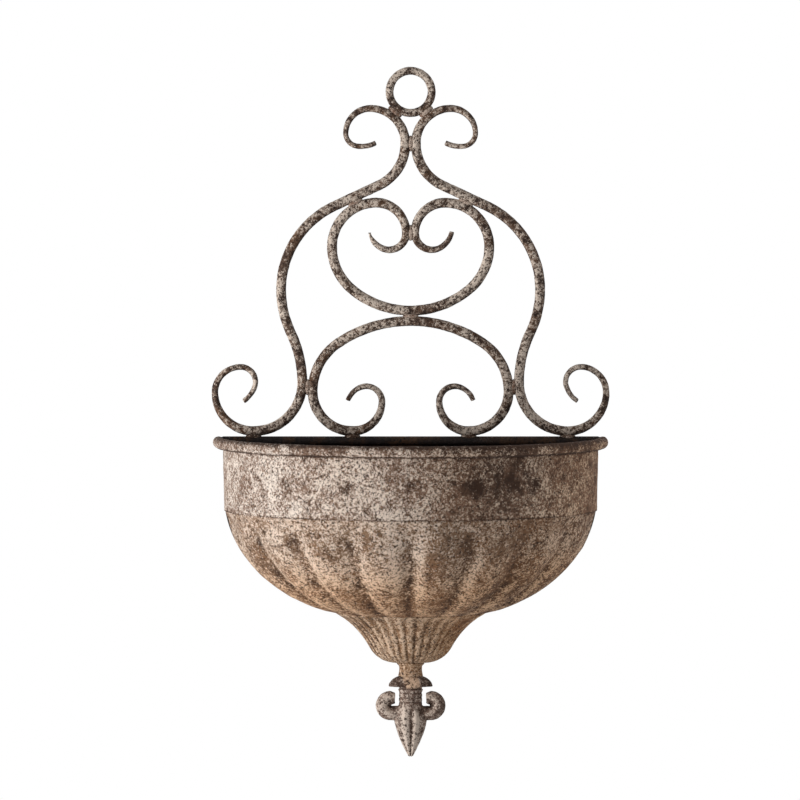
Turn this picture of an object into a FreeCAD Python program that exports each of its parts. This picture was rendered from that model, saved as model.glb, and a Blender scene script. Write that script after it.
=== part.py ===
"""Half-round iron wall planter: a lobed sheet bowl under a frame of forged scrolls.

Millimetres, +Z up. The wall is the plane y = 0 and the planter stands in front of it, towards -Y.
The origin is the centre of the hanging ring's eye, on the wall.
"""
import FreeCAD, Part
import math
import os
from collections import namedtuple

from FreeCAD import Placement, Rotation, Vector

SIZES = (
    ("bar_diameter", 10, "round bar of the scrolls"),
    ("weld_gap", 0.4, "root gap that a weld fills between two bars"),
    ("weld_reach", 4.6, "half height of a weld bead, towards and away from the wall"),
    ("weld_length", 8, "half length of a weld bead, along the bars"),
    ("weld_width", 4, "half width of a weld bead, across the bars"),
    ("ring_radius", 21, "hanging ring, to the middle of its bar"),
    ("ring_bar_diameter", 8, "round bar of the ring"),
    ("top_rise_radius", 35, "side scroll, from the waist up to the top of its curl"),
    ("top_fall_radius", 24.5, "side scroll, from the top of the curl out and down"),
    ("top_curl_radius", 13.3, "side scroll, bottom of the top curl"),
    ("top_curl_turn", 86, "side scroll, degrees turned by the bottom of the top curl"),
    ("top_tip_radius", 35, "side scroll, top tip"),
    ("top_tip_turn", 30, "side scroll, degrees turned by the top tip"),
    ("top_side_thickness", 5.2, "hammered thickness at the side of the top curl"),
    ("top_tip_thickness", 5.2, "hammered thickness at the top tip"),
    ("waist_radius", 46, "side scroll, from the waist down to the shoulder"),
    ("shoulder_turn", 65, "degrees from the waist's vertical to the straight shoulder"),
    ("shoulder_straight", 49, "straight run of the shoulder"),
    ("shoulder_radius", 92, "from the straight shoulder to the widest place"),
    ("flank_radius", 100, "below the widest place"),
    ("flank_turn", 25.4, "degrees that the flank leans in below the widest place"),
    ("ankle_radius", 117, "from the flank back to vertical"),
    ("foot_radius", 48.5, "from the ankle to the underside of the foot"),
    ("foot_rise_radius", 38.7, "from the underside of the foot up to its side"),
    ("foot_crown_radius", 25.6, "over the top of the foot's curl"),
    ("foot_curl_radius", 15, "inside the foot's curl"),
    ("foot_curl_turn", 110, "degrees turned inside the foot's curl"),
    ("foot_tip_radius", 29, "tip of the foot's curl"),
    ("foot_tip_turn", 36, "degrees turned by the tip of the foot's curl"),
    ("foot_side_thickness", 6.6, "hammered thickness at the side of a foot's curl"),
    ("foot_tip_thickness", 4.8, "hammered thickness at the tip of a foot's curl"),
    ("heart_base_radius", 91.3, "heart, beside its lowest place"),
    ("heart_base_turn", 40, "degrees turned beside the heart's lowest place"),
    ("heart_side_radius", 55.4, "heart, up to its widest place"),
    ("heart_lobe_radius", 44, "heart, over the lobe"),
    ("heart_curl_radius", 17, "inside the heart's curl"),
    ("heart_curl_turn", 117, "degrees turned inside the heart's curl"),
    ("heart_tip_radius", 22.7, "tip of the heart's curl"),
    ("heart_tip_turn", 53, "degrees turned by the tip of the heart's curl"),
    ("heart_meet_thickness", 8.4, "hammered thickness where the heart's curls meet"),
    ("heart_tip_thickness", 4.8, "hammered thickness at the heart's tips"),
    ("arch_crown_turn", 33.5, "degrees turned by the flat crown of the arch"),
    ("arch_foot_radius", 39.8, "from the side of the arch to the underside of its foot"),
    ("arch_rise_radius", 29.5, "from the underside of the arch's foot up to its side"),
    ("arch_curl_radius", 15.5, "inside the curl of the arch's foot"),
    ("arch_curl_turn", 108, "degrees turned inside the curl of the arch's foot"),
    ("arch_tip_radius", 21.6, "tip of the arch's foot"),
    ("arch_tip_turn", 53, "degrees turned by the tip of the arch's foot"),
    ("plate_thickness", 2, "sheet of the back"),
    ("rail_diameter", 8, "rod along the top edge of the back"),
    ("seat_clearance", 0.3, "clearance where sheet pieces lap or butt"),
    ("sheet_thickness", 1.6, "sheet of the band and the bowl"),
    ("wire_diameter", 7.6, "wire inside the rolled rim"),
    ("wire_clearance", 0.3, "clearance between the rolled rim and its wire"),
    ("roll_turn", 305, "degrees that the rim is rolled round its wire"),
    ("band_top_radius", 186.2, "inside of the band under the rim"),
    ("band_draw_in", 1.4, "how much narrower the band is at its lower edge"),
    ("band_height", 73.6, "from the top of the rim to the band's lower edge"),
    ("dimple_count", 9, "pressed dimples in the band"),
    ("dimple_radius", 28, "ball that presses a dimple"),
    ("dimple_depth", 1.0, "depth of a dimple"),
    ("dimple_drop", 40, "from the top of the rim to the row of dimples"),
    ("lap_height", 8, "how far the bowl's collar stands up inside the band"),
    ("lap_step", 1, "how far the bowl stands back under the band's lower edge"),
    ("lobe_count", 9, "lobes round the half bowl, counting half a lobe at each end"),
    ("lobe_depth", 10.5, "depth of the valleys between the lobes"),
    ("bowl_lean", 9.2, "degrees that the bowl leans in below the band"),
    ("bowl_shoulder_radius", 107.5, "upper arc of the bowl's side"),
    ("bowl_shoulder_turn", 27.1, "degrees turned by the upper arc"),
    ("bowl_belly_turn", 45.2, "degrees turned by the lower arc"),
    ("bowl_foot_radius", 73.5, "outside of the bowl where it stands on the fluted foot"),
    ("shoulder_station_count", 2, "steps between the sections along the bowl's upper arc"),
    ("belly_station_count", 7, "steps between the sections along the bowl's lower arc"),
    ("lobe_bluntness", 0.7, "power of the sine wave that valleys and grooves follow along their length"),
    ("foot_ledge", 2.5, "how far the fluted foot stands out under the bowl"),
    ("foot_lean", 61, "degrees between the fluted foot's upper edge and vertical"),
    ("foot_flare_turn", 32.6, "degrees turned by the hollow side of the fluted foot"),
    ("foot_base_radius", 28.5, "rounded underside of the fluted foot"),
    ("foot_flat", 4, "flat of the fluted foot's underside round the neck"),
    ("flare_station_count", 5, "steps between the sections along the foot's hollow side"),
    ("base_station_count", 5, "steps between the sections along the foot's rounded underside"),
    ("foot_wall", 4.6, "wall of the fluted foot"),
    ("foot_floor", 8, "floor of the fluted foot"),
    ("flute_count", 18, "ribs round the half foot, counting half a rib at each end"),
    ("flute_depth", 2, "depth of the grooves between the ribs"),
    ("neck_diameter", 24, "ends of the neck"),
    ("neck_waist_diameter", 22.6, "middle of the neck"),
    ("neck_length", 11, "neck, below the fluted foot"),
    ("neck_entry", 5, "how far the neck reaches up round the fluted foot's underside"),
    ("stud_diameter", 6, "threaded stud of the finial"),
    ("stud_bore_diameter", 6.6, "bore for the stud in foot, neck and washer"),
    ("thread_clearance", 0.1, "clearance of the threads in finial and nut"),
    ("stud_depth", 26, "how far the stud reaches into the finial"),
    ("stud_end", 3, "how far the stud stands out of its nut"),
    ("washer_diameter", 18, "washer of the stud"),
    ("washer_thickness", 1.6, "washer of the stud"),
    ("nut_width", 10, "nut of the stud, across its flats"),
    ("nut_height", 5, "nut of the stud"),
    ("crown_half_width", 22, "drooping leaf crown of the finial"),
    ("crown_half_depth", 11.6, "leaf crown, towards the wall"),
    ("crown_height", 12.5, "leaf crown"),
    ("leaf_half_width", 8, "front leaf of the crown"),
    ("leaf_half_depth", 5, "front leaf of the crown, towards the wall"),
    ("leaf_half_height", 7, "front leaf of the crown"),
    ("stem_diameter", 23.2, "stem of the finial"),
    ("stem_length", 23.5, "stem of the finial below the crown"),
    ("stem_bead_diameter", 3, "bead round the stem"),
    ("petal_drop", 39.2, "from the finial's top to the root of its side petals"),
    ("petal_reach", 20.2, "straight root of a side petal"),
    ("petal_radius", 7.5, "curl of a side petal"),
    ("petal_thickness", 14.4, "side petal"),
    ("petal_tip_thickness", 10.5, "end of a side petal"),
    ("petal_tip_length", 4.6, "straight end of a side petal"),
    ("petal_depth", 15, "side petal, towards the wall"),
    ("point_half_width", 16.2, "middle petal, at its widest"),
    ("point_root", 31, "from the finial's top to the root of the middle petal"),
    ("point_half_depth", 11.5, "middle petal, at its widest, towards the wall"),
    ("point_drop", 46.5, "from the finial's top to the widest place of the middle petal"),
    ("point_length", 36, "from there to the tip"),
    ("point_tip_width", 4.6, "blunt tip of the middle petal"),
    ("point_bluntness", 1.4, "power that the middle petal's taper follows"),
)

doc = FreeCAD.newDocument("wall_planter")
sheet = doc.addObject("Spreadsheet::Sheet", "Sizes")
for row, (alias, value, note) in enumerate(SIZES, start=1):
    sheet.set(f"A{row}", note)
    sheet.set(f"B{row}", str(value))
    sheet.setAlias(f"B{row}", alias)
doc.recompute()
size = {alias: float(sheet.get(alias)) for alias, _, _ in SIZES}

# A leg of a bent bar or of an outline, in the plane of the wall: x across, z up, headings in radians
Leg = namedtuple("Leg", "start middle end heading_in heading_out")


def ahead(place, course, radius, degrees, share):
    """The place reached after a share of a leg that starts at a place on a course."""
    if degrees == 0:
        return (place[0] + share * radius * math.cos(course), place[1] + share * radius * math.sin(course))
    side = math.copysign(1, degrees)
    bend = course + share * math.radians(degrees)
    return (
        place[0] + side * radius * (math.sin(bend) - math.sin(course)),
        place[1] - side * radius * (math.cos(bend) - math.cos(course)),
    )


def walk(start, heading, legs):
    """Follow legs of (radius, degrees): left turns count up, and zero degrees is a straight that long."""
    place, course, done = start, math.radians(heading), []
    for radius, degrees in legs:
        middle = ahead(place, course, radius, degrees, 0.5)
        end = ahead(place, course, radius, degrees, 1)
        turned = course + math.radians(degrees)
        done.append(Leg(place, middle, end, course, turned))
        place, course = end, turned
    return done


def walk_on(legs, more):
    """Follow more legs from the end of the last one."""
    return walk(legs[-1].end, math.degrees(legs[-1].heading_out), more)


def run_across(heading, radius, degrees):
    """How far across a leg runs."""
    return ahead((0.0, 0.0), math.radians(heading), radius, degrees, 1)[0]


def on_wall(place, depth=0.0):
    """A point given as (x, z), at a depth in front of the wall."""
    return Vector(place[0], -depth, place[1])


def flat(place):
    """A sketch point given as (x, z)."""
    return Vector(place[0], place[1], 0)


def leg_curve(leg, point=flat):
    """The line or arc of one leg, through points made from its places."""
    if leg.heading_in == leg.heading_out:
        return Part.LineSegment(point(leg.start), point(leg.end))
    return Part.Arc(point(leg.start), point(leg.middle), point(leg.end))


def bind(thing, **expressions):
    """Bind the properties of an object to formulas of the sheet's sizes."""
    for name, formula in expressions.items():
        thing.setExpression(name, formula)
    return thing


def half(alias):
    """Formula for half of a size."""
    return f"Sizes.{alias} / 2"


def ellipse(name, place, long_way, normal, major, minor):
    """An ellipse whose half axes are formulas, its long axis along long_way."""
    shape = doc.addObject("Part::Ellipse", name)
    bind(shape, MajorRadius=major, MinorRadius=minor)
    shape.Placement = Placement(place, Rotation(long_way, normal.cross(long_way), normal, "ZXY"))
    return shape


def bar(name, legs, first, last, width="bar_diameter", depth=None):
    """A bar bent along legs, its thickness in the plane of the wall going from one size to another."""
    depth = bar_depth if depth is None else depth
    path = doc.addObject("Part::Feature", f"{name}_path")
    path.Shape = Part.Wire([leg_curve(leg, lambda place: on_wall(place, depth)).toShape() for leg in legs])
    ends = []
    for place, heading, alias in (
        (legs[0].start, legs[0].heading_in, first),
        (legs[-1].end, legs[-1].heading_out, last),
    ):
        along = Vector(math.cos(heading), 0, math.sin(heading))
        ends.append(
            ellipse(f"{name}_end", on_wall(place, depth), Vector(0, 1, 0), along, half(width), half(alias))
        )
    sweep = doc.addObject("Part::Sweep", name)
    sweep.Sections = ends
    sweep.Spine = (path, [f"Edge{number}" for number in range(1, len(legs) + 1)])
    sweep.Solid = True
    return sweep


def fuse(name, pieces):
    joined = doc.addObject("Part::MultiFuse", name)
    joined.Shapes = pieces
    return joined


def gather(name, pieces):
    gathered = doc.addObject("Part::Compound", name)
    gathered.Links = pieces
    return gathered


def cut(name, base, tool):
    shape = doc.addObject("Part::Cut", name)
    shape.Base = base
    shape.Tool = tool
    return shape


def mirrored(name, source):
    """The twin of a piece on the other side of the middle plane."""
    twin = doc.addObject("Part::Mirroring", name)
    twin.Source = source
    twin.Normal = Vector(1, 0, 0)
    return twin


def cylinder(name, place, diameter, height, axis=Vector(0, 0, 1)):
    """A cylinder from a foot point along an axis: the diameter is a formula, the height a length."""
    shape = doc.addObject("Part::Cylinder", name)
    bind(shape, Radius=f"({diameter}) / 2")
    shape.Height = height
    shape.Placement = Placement(place, Rotation(Vector(0, 0, 1), axis))
    return shape


def new_body(name, place):
    body = doc.addObject("PartDesign::Body", name)
    body.Placement = Placement(place, Rotation())
    return body


def origin_feature(body, role):
    return next(feature for feature in body.Origin.OriginFeatures if feature.Role == role)


def outline_sketch(body, name, curves):
    """A closed outline on the body's upright plane, of curves given in x and z."""
    sketch = body.newObject("Sketcher::SketchObject", name)
    sketch.AttachmentSupport = [(origin_feature(body, "XZ_Plane"), "")]
    sketch.MapMode = "FlatFace"
    sketch.addGeometry(curves, False)
    return sketch


# Places that follow from the sizes, from the ring down
quarter_turn = 90
bar_depth = size["bar_diameter"] / 2
bar_pitch = size["bar_diameter"] + size["weld_gap"]
waist_x = bar_pitch / 2
ring_outside = size["ring_radius"] + size["ring_bar_diameter"] / 2
ring_reach = ring_outside + size["weld_gap"] + bar_depth + size["top_rise_radius"]
waist = (waist_x, -math.sqrt(ring_reach**2 - (waist_x + size["top_rise_radius"]) ** 2))

side_top = walk(
    waist,
    quarter_turn,
    (
        (size["top_rise_radius"], -quarter_turn),
        (size["top_fall_radius"], -quarter_turn),
    ),
)
side_tip = walk_on(
    side_top,
    (
        (size["top_curl_radius"], -size["top_curl_turn"]),
        (size["top_tip_radius"], -size["top_tip_turn"]),
    ),
)
side_run = walk(
    waist,
    -quarter_turn,
    (
        (size["waist_radius"], size["shoulder_turn"]),
        (size["shoulder_straight"], 0),
        (size["shoulder_radius"], -size["shoulder_turn"]),
        (size["flank_radius"], -size["flank_turn"]),
        (size["ankle_radius"], size["flank_turn"]),
        (size["foot_radius"], quarter_turn),
    ),
)
side_foot = walk_on(side_run, [(size["foot_rise_radius"], quarter_turn)])
side_curl = walk_on(
    side_foot,
    (
        (size["foot_crown_radius"], quarter_turn),
        (size["foot_curl_radius"], size["foot_curl_turn"]),
        (size["foot_tip_radius"], size["foot_tip_turn"]),
    ),
)
_, shoulder, _, _, ankle, foot_bend = side_run

# The top edge of the back, which the four feet stand on
edge_z = foot_bend.end[1] - bar_depth - size["weld_gap"]

# The heart hangs under the straight shoulders, and its two curls meet on the middle plane
heart_lean = math.radians(size["heart_base_turn"])
base_radius, side_radius = size["heart_base_radius"], size["heart_side_radius"]
heart_side_x = base_radius * math.sin(heart_lean) + side_radius * (1 - math.sin(heart_lean))
heart_side_rise = base_radius * (1 - math.cos(heart_lean)) + side_radius * math.cos(heart_lean)
lobe_x = heart_side_x - size["heart_lobe_radius"]
shoulder_slope = -shoulder.heading_in
lobe_distance = size["heart_lobe_radius"] + bar_pitch
lobe_z = (
    shoulder.start[1]
    - (lobe_distance + (lobe_x - shoulder.start[0]) * math.sin(shoulder_slope)) / math.cos(shoulder_slope)
)
heart_base = (0.0, lobe_z - heart_side_rise)
heart_meet_x = (size["heart_meet_thickness"] + size["weld_gap"]) / 2
heart_run = walk(
    heart_base,
    0,
    (
        (base_radius, size["heart_base_turn"]),
        (side_radius, quarter_turn - size["heart_base_turn"]),
        (size["heart_lobe_radius"], quarter_turn),
    ),
)
heart_meet = walk_on(heart_run, [(lobe_x - heart_meet_x, quarter_turn)])
heart_curl = walk_on(
    heart_meet,
    (
        (size["heart_curl_radius"], size["heart_curl_turn"]),
        (size["heart_tip_radius"], size["heart_tip_turn"]),
    ),
)

# The arch stands under the heart and between the ankles, on the same edge as the side scrolls
arch_top = (0.0, heart_base[1] - bar_pitch)
arch_lean = math.radians(size["arch_crown_turn"])
arch_half_width = ankle.end[0] - bar_pitch
arch_drop = arch_top[1] - foot_bend.end[1] - size["arch_foot_radius"]
arch_side_radius = (arch_drop * math.sin(arch_lean) - arch_half_width * (1 - math.cos(arch_lean))) / (
    math.sin(arch_lean) + math.cos(arch_lean) - 1
)
arch_crown_radius = (arch_half_width - arch_side_radius * (1 - math.sin(arch_lean))) / math.sin(arch_lean)
arch_run = walk(
    arch_top,
    0,
    (
        (arch_crown_radius, -size["arch_crown_turn"]),
        (arch_side_radius, size["arch_crown_turn"] - quarter_turn),
        (size["arch_foot_radius"], -quarter_turn),
    ),
)
arch_foot = walk_on(arch_run, [(size["arch_rise_radius"], -quarter_turn)])
arch_curl = walk_on(
    arch_foot,
    (
        (size["arch_curl_radius"], -size["arch_curl_turn"]),
        (size["arch_tip_radius"], -size["arch_tip_turn"]),
    ),
)
_, arch_side, arch_bend = arch_run

# The bowl, in its own coordinates: the axis runs up the front of the back, and zero is the rim's top
bowl_place = Vector(0, -size["plate_thickness"], edge_z)
roll_inner = size["wire_diameter"] / 2 + size["wire_clearance"]
roll_outer = roll_inner + size["sheet_thickness"]
wire_radius_on_bowl = size["band_top_radius"] + roll_outer
band_foot_radius = size["band_top_radius"] - size["band_draw_in"]
collar_radius = band_foot_radius - size["seat_clearance"]
bowl_top_radius = band_foot_radius + size["sheet_thickness"] - size["lap_step"]
bowl_top = -size["band_height"] - size["seat_clearance"]

# The lower arc of the bowl's side is as wide as it takes to end at the fluted foot
shoulder_course = -quarter_turn - size["bowl_lean"]
belly_course = shoulder_course - size["bowl_shoulder_turn"]
belly_run = (
    size["bowl_foot_radius"]
    - bowl_top_radius
    - run_across(shoulder_course, size["bowl_shoulder_radius"], -size["bowl_shoulder_turn"])
)
belly_radius = belly_run / run_across(belly_course, 1, -size["bowl_belly_turn"])
bowl_legs = walk(
    (bowl_top_radius, bowl_top),
    shoulder_course,
    (
        (size["bowl_shoulder_radius"], -size["bowl_shoulder_turn"]),
        (belly_radius, -size["bowl_belly_turn"]),
    ),
)
bowl_foot = bowl_legs[-1].end

# The hollow side of the foot is as wide as it takes to end at the flat round the neck
foot_top = (bowl_foot[0] + size["foot_ledge"], bowl_foot[1])
flare_course = -quarter_turn - size["foot_lean"]
base_course = flare_course + size["foot_flare_turn"]
base_turn = -2 * quarter_turn - base_course
flare_run = (
    size["neck_diameter"] / 2
    + size["foot_flat"]
    - foot_top[0]
    - run_across(base_course, size["foot_base_radius"], base_turn)
)
flare_radius = flare_run / run_across(flare_course, 1, size["foot_flare_turn"])
foot_legs = walk(
    foot_top,
    flare_course,
    (
        (flare_radius, size["foot_flare_turn"]),
        (size["foot_base_radius"], base_turn),
    ),
)
foot_base = foot_legs[-1].end

# The neck, stud and finial stand clear of the wall on an axis of their own
finial_depth = size["neck_diameter"] / 2
neck_z = edge_z + foot_base[1]
finial_z = neck_z - size["neck_length"]
floor_z = neck_z + size["foot_floor"]


def finial_point(x=0.0, drop=0.0, forward=0.0):
    """A point on the finial, from the middle of its top."""
    return Vector(x, -finial_depth - forward, finial_z - drop)


def hanging_ring():
    ring = doc.addObject("Part::Torus", "ring")
    bind(ring, Radius1="Sizes.ring_radius", Radius2=half("ring_bar_diameter"))
    ring.Placement = Placement(Vector(0, -bar_depth, 0), Rotation(Vector(1, 0, 0), 90))
    return ring


def side_scroll():
    """The right one of the two S scrolls."""
    return fuse(
        "side_scroll",
        [
            bar("side_tip", side_tip, "top_side_thickness", "top_tip_thickness"),
            bar("side_top", side_top, "bar_diameter", "top_side_thickness"),
            bar("side_run", side_run, "bar_diameter", "bar_diameter"),
            bar("side_foot", side_foot, "bar_diameter", "foot_side_thickness"),
            bar("side_curl", side_curl, "foot_side_thickness", "foot_tip_thickness"),
        ],
    )


def twin_scroll(name, pieces):
    """A bar bent the same way on both sides of the middle plane."""
    twins = [mirrored(f"{name}_{piece.Name}_twin", piece) for piece in pieces]
    return fuse(f"{name}_scroll", pieces + twins)


def heart_scroll():
    return twin_scroll(
        "heart",
        [
            bar("heart_run", heart_run, "bar_diameter", "bar_diameter"),
            bar("heart_meet", heart_meet, "bar_diameter", "heart_meet_thickness"),
            bar("heart_curl", heart_curl, "heart_meet_thickness", "heart_tip_thickness"),
        ],
    )


def arch_scroll():
    return twin_scroll(
        "arch",
        [
            bar("arch_run", arch_run, "bar_diameter", "bar_diameter"),
            bar("arch_foot", arch_foot, "bar_diameter", "foot_side_thickness"),
            bar("arch_curl", arch_curl, "foot_side_thickness", "foot_tip_thickness"),
        ],
    )


def weld_bead(name, place, heading):
    """A bead along a heading, before the bars are cut out of it."""
    bead = doc.addObject("Part::Ellipsoid", name)
    bind(bead, Radius1="Sizes.weld_width", Radius2="Sizes.weld_length", Radius3="Sizes.weld_reach")
    bead.Placement = Placement(on_wall(place, bar_depth), Rotation(Vector(0, 1, 0), -math.degrees(heading)))
    return bead


def welds(name, spots, neighbours):
    """Weld beads at (x, z, heading) spots, shaped by the pieces that they join."""
    beads = [weld_bead(f"{name}_bead", spot[:2], spot[2]) for spot in spots]
    return cut(f"{name}_cut", gather(f"{name}_beads", beads), gather(f"{name}_neighbours", neighbours))


def both_sides(x, z, heading):
    return [(x, z, heading), (-x, z, -heading)]


def ring_weld_spots():
    """Where the line from the ring's middle to the top curl's middle leaves the ring."""
    away = ring_outside + size["weld_gap"] / 2
    sideways = (waist[0] + size["top_rise_radius"]) / ring_reach
    down = waist[1] / ring_reach
    return both_sides(away * sideways, away * down, math.atan2(sideways, -down))


def heart_weld_spots():
    """Under the two shoulders, and between the two curls."""
    away = size["heart_lobe_radius"] + bar_pitch / 2
    shoulder = (lobe_x + away * math.sin(shoulder_slope), lobe_z + away * math.cos(shoulder_slope))
    return both_sides(*shoulder, -shoulder_slope) + [(0.0, heart_meet[-1].end[1], math.pi / 2)]


def arch_weld_spots():
    """Under the heart, and beside the two ankles."""
    beside = arch_half_width + bar_pitch / 2
    height = (arch_side.end[1] + ankle.end[1]) / 2
    return [(0.0, heart_base[1] - bar_pitch / 2, 0.0)] + both_sides(beside, height, math.pi / 2)


def foot_weld_spots():
    feet = (foot_bend.end[0], arch_bend.end[0])
    return [spot for x in feet for spot in both_sides(x, edge_z, 0.0)]


def back_plate():
    """Flat sheet with the outline of the bowl and the foot."""
    wall = size["sheet_thickness"]
    corners = [
        (0.0, 0.0),
        (size["band_top_radius"] + wall, 0.0),
        (size["band_top_radius"] + wall, -roll_outer),
        (band_foot_radius + wall, -size["band_height"]),
        bowl_legs[0].start,
    ]
    curves = [Part.LineSegment(flat(a), flat(b)) for a, b in zip(corners, corners[1:])]
    curves += [leg_curve(leg) for leg in bowl_legs]
    curves.append(Part.LineSegment(flat(bowl_foot), flat(foot_legs[0].start)))
    curves += [leg_curve(leg) for leg in foot_legs]
    middle = (0.0, foot_base[1])
    curves.append(Part.LineSegment(flat(foot_base), flat(middle)))
    curves.append(Part.LineSegment(flat(middle), flat(corners[0])))
    body = new_body("plate", Vector(0, 0, edge_z))
    pad = body.newObject("PartDesign::Pad", "plate_half")
    pad.Profile = outline_sketch(body, "plate_outline", curves)
    bind(pad, Length="Sizes.plate_thickness")
    twin = body.newObject("PartDesign::Mirrored", "plate_whole")
    twin.Originals = [pad]
    twin.MirrorPlane = (origin_feature(body, "YZ_Plane"), [""])
    body.Tip = twin
    return body


def back_rail():
    """Rod along the top of the back, butting against the inside of the band at both ends."""
    reach = math.sqrt(size["band_top_radius"] ** 2 - size["rail_diameter"] ** 2) - size["seat_clearance"]
    radius = size["rail_diameter"] / 2
    foot = Vector(-reach, -size["plate_thickness"] - radius, edge_z - radius)
    return cylinder("rail", foot, "Sizes.rail_diameter", 2 * reach, Vector(1, 0, 0))


def roll_point(radius, degrees):
    """A point round the rim's wire, degrees counted over the top from the band's wall."""
    angle = math.pi - math.radians(degrees)
    return flat((wire_radius_on_bowl + radius * math.cos(angle), radius * math.sin(angle) - roll_outer))


def upper_band():
    """Sheet band whose top is rolled outwards round a wire, with a row of pressed dimples."""
    sheet_wall = size["sheet_thickness"]
    turn = size["roll_turn"]
    foot_inside = flat((band_foot_radius, -size["band_height"]))
    foot_outside = foot_inside + Vector(sheet_wall, 0, 0)
    curves = [
        Part.LineSegment(foot_inside, roll_point(roll_outer, 0)),
        Part.Arc(roll_point(roll_outer, 0), roll_point(roll_outer, turn / 2), roll_point(roll_outer, turn)),
        Part.LineSegment(roll_point(roll_outer, turn), roll_point(roll_inner, turn)),
        Part.Arc(roll_point(roll_inner, turn), roll_point(roll_inner, turn / 2), roll_point(roll_inner, 0)),
        Part.LineSegment(roll_point(roll_inner, 0), foot_outside),
        Part.LineSegment(foot_outside, foot_inside),
    ]
    body = new_body("band", bowl_place)
    turned = body.newObject("PartDesign::Revolution", "band_wall")
    turned.Profile = outline_sketch(body, "band_profile", curves)
    turned.ReferenceAxis = (origin_feature(body, "Z_Axis"), [""])
    turned.Angle = 180
    turned.Reversed = True
    doc.recompute()

    pitch = math.pi / size["dimple_count"]
    lean = size["band_draw_in"] / (size["band_height"] - roll_outer)
    wall = size["band_top_radius"] - lean * (size["dimple_drop"] - roll_outer) + sheet_wall
    away = wall + size["dimple_radius"] - size["dimple_depth"]
    ball = body.newObject("PartDesign::SubtractiveSphere", "dimple")
    bind(ball, Radius="Sizes.dimple_radius")
    ball.Placement = Placement(
        Vector(away * math.cos(pitch / 2), -away * math.sin(pitch / 2), -size["dimple_drop"]), Rotation()
    )
    row_of_dimples = body.newObject("PartDesign::PolarPattern", "dimples")
    row_of_dimples.Originals = [ball]
    row_of_dimples.Axis = (origin_feature(body, "Z_Axis"), [""])
    row_of_dimples.Reversed = True
    row_of_dimples.Angle = math.degrees(math.pi - pitch)
    row_of_dimples.Occurrences = int(size["dimple_count"])
    body.Tip = row_of_dimples
    return body


def rim_wire():
    """Half ring of wire inside the rolled rim."""
    wire = bind(doc.addObject("Part::Torus", "wire"), Radius2=half("wire_diameter"))
    wire.Radius1 = wire_radius_on_bowl
    wire.Angle3 = 180
    wire.Placement = Placement(bowl_place - Vector(0, 0, roll_outer), Rotation(Vector(0, 0, 1), 180))
    return wire


def lobed_section(name, radius, depth, count, height):
    """Half section of the bowl: lobes round the front, half a lobe at each end, a chord along the back."""
    pitch = math.pi / count

    def at(step, reach):
        return Vector(reach * math.cos(step * pitch), -reach * math.sin(step * pitch), height)

    def lobe(step):
        return Part.Arc(at(step - 0.5, radius - depth), at(step, radius), at(step + 0.5, radius - depth))

    first, last = lobe(0), lobe(count)
    edges = [first.toShape((first.FirstParameter + first.LastParameter) / 2, first.LastParameter)]
    edges += [lobe(step).toShape() for step in range(1, count)]
    edges.append(last.toShape(last.FirstParameter, (last.FirstParameter + last.LastParameter) / 2))
    edges.append(Part.makeLine(at(count, radius), at(0, radius)))
    section = doc.addObject("Part::Feature", name)
    section.Shape = Part.Wire(edges)
    return section


Station = namedtuple("Station", "radius height across up share")


def stations(legs, counts):
    """Places along an outline, so many steps on each leg, with directions and shares of the whole way."""
    edges = [leg_curve(leg).toShape() for leg in legs]
    whole = sum(edge.Length for edge in edges)
    found, before = [], 0.0
    for edge, count in zip(edges, counts):
        for step in range(1 if found else 0, int(count) + 1):
            part_way = step / int(count)
            parameter = edge.FirstParameter + part_way * (edge.LastParameter - edge.FirstParameter)
            point, along = edge.valueAt(parameter), edge.tangentAt(parameter)
            share = (before + part_way * edge.Length) / whole
            found.append(Station(point.x, point.y, along.x, along.y, share))
        before += edge.Length
    return found


def inside(station, wall, depth=0.0):
    """The row of an inner section, a wall's thickness in from a station on the outside."""
    return (station.radius + wall * station.up, depth, station.height - wall * station.across)


def lobed_loft(name, rows, count):
    """A solid through half sections given as (radius, valley depth, height)."""
    loft = doc.addObject("Part::Loft", name)
    loft.Sections = [
        lobed_section(f"{name}_section", radius, depth, count, height) for radius, depth, height in rows
    ]
    loft.Solid = True
    return loft


def dip(share):
    """Depth of a valley along its length: nothing at both ends."""
    return math.sin(math.pi * share) ** size["lobe_bluntness"] if 0 < share < 1 else 0.0


def half_tube(name, outer, inner, foot, height):
    """The front half of a tube round the bowl's axis."""
    solids = []
    for part_name, radius in ((f"{name}_outer", outer), (f"{name}_inner", inner)):
        solid = doc.addObject("Part::Cylinder", part_name)
        solid.Radius = radius
        solid.Height = height
        solid.Angle = 180
        solid.Placement = Placement(Vector(0, 0, foot), Rotation(Vector(0, 0, 1), 180))
        solids.append(solid)
    return cut(name, *solids)


def gadroon_bowl():
    """Lobed half bowl with a plain collar that stands up inside the band."""
    wall = size["sheet_thickness"]
    count = int(size["lobe_count"])
    side = stations(bowl_legs, (size["shoulder_station_count"], size["belly_station_count"]))
    depths = [size["lobe_depth"] * dip(station.share) for station in side]
    outer = [(station.radius, depth, station.height) for station, depth in zip(side, depths)]
    inner = [inside(station, wall, depth) for station, depth in zip(side, depths)]
    last = side[-1]
    run = (wall + size["seat_clearance"]) / abs(last.up)
    past = last._replace(radius=last.radius + run * last.across, height=last.height + run * last.up)
    inner.append(inside(past, wall))
    shell = cut("bowl_shell", lobed_loft("bowl_out", outer, count), lobed_loft("bowl_in", inner, count))
    foot, height = bowl_top - wall, size["lap_height"] + wall
    collar = half_tube("collar", collar_radius, collar_radius - wall, foot, height)
    bowl = fuse("bowl", [shell, collar])
    bowl.Placement = Placement(bowl_place, Rotation())
    return bowl


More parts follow.
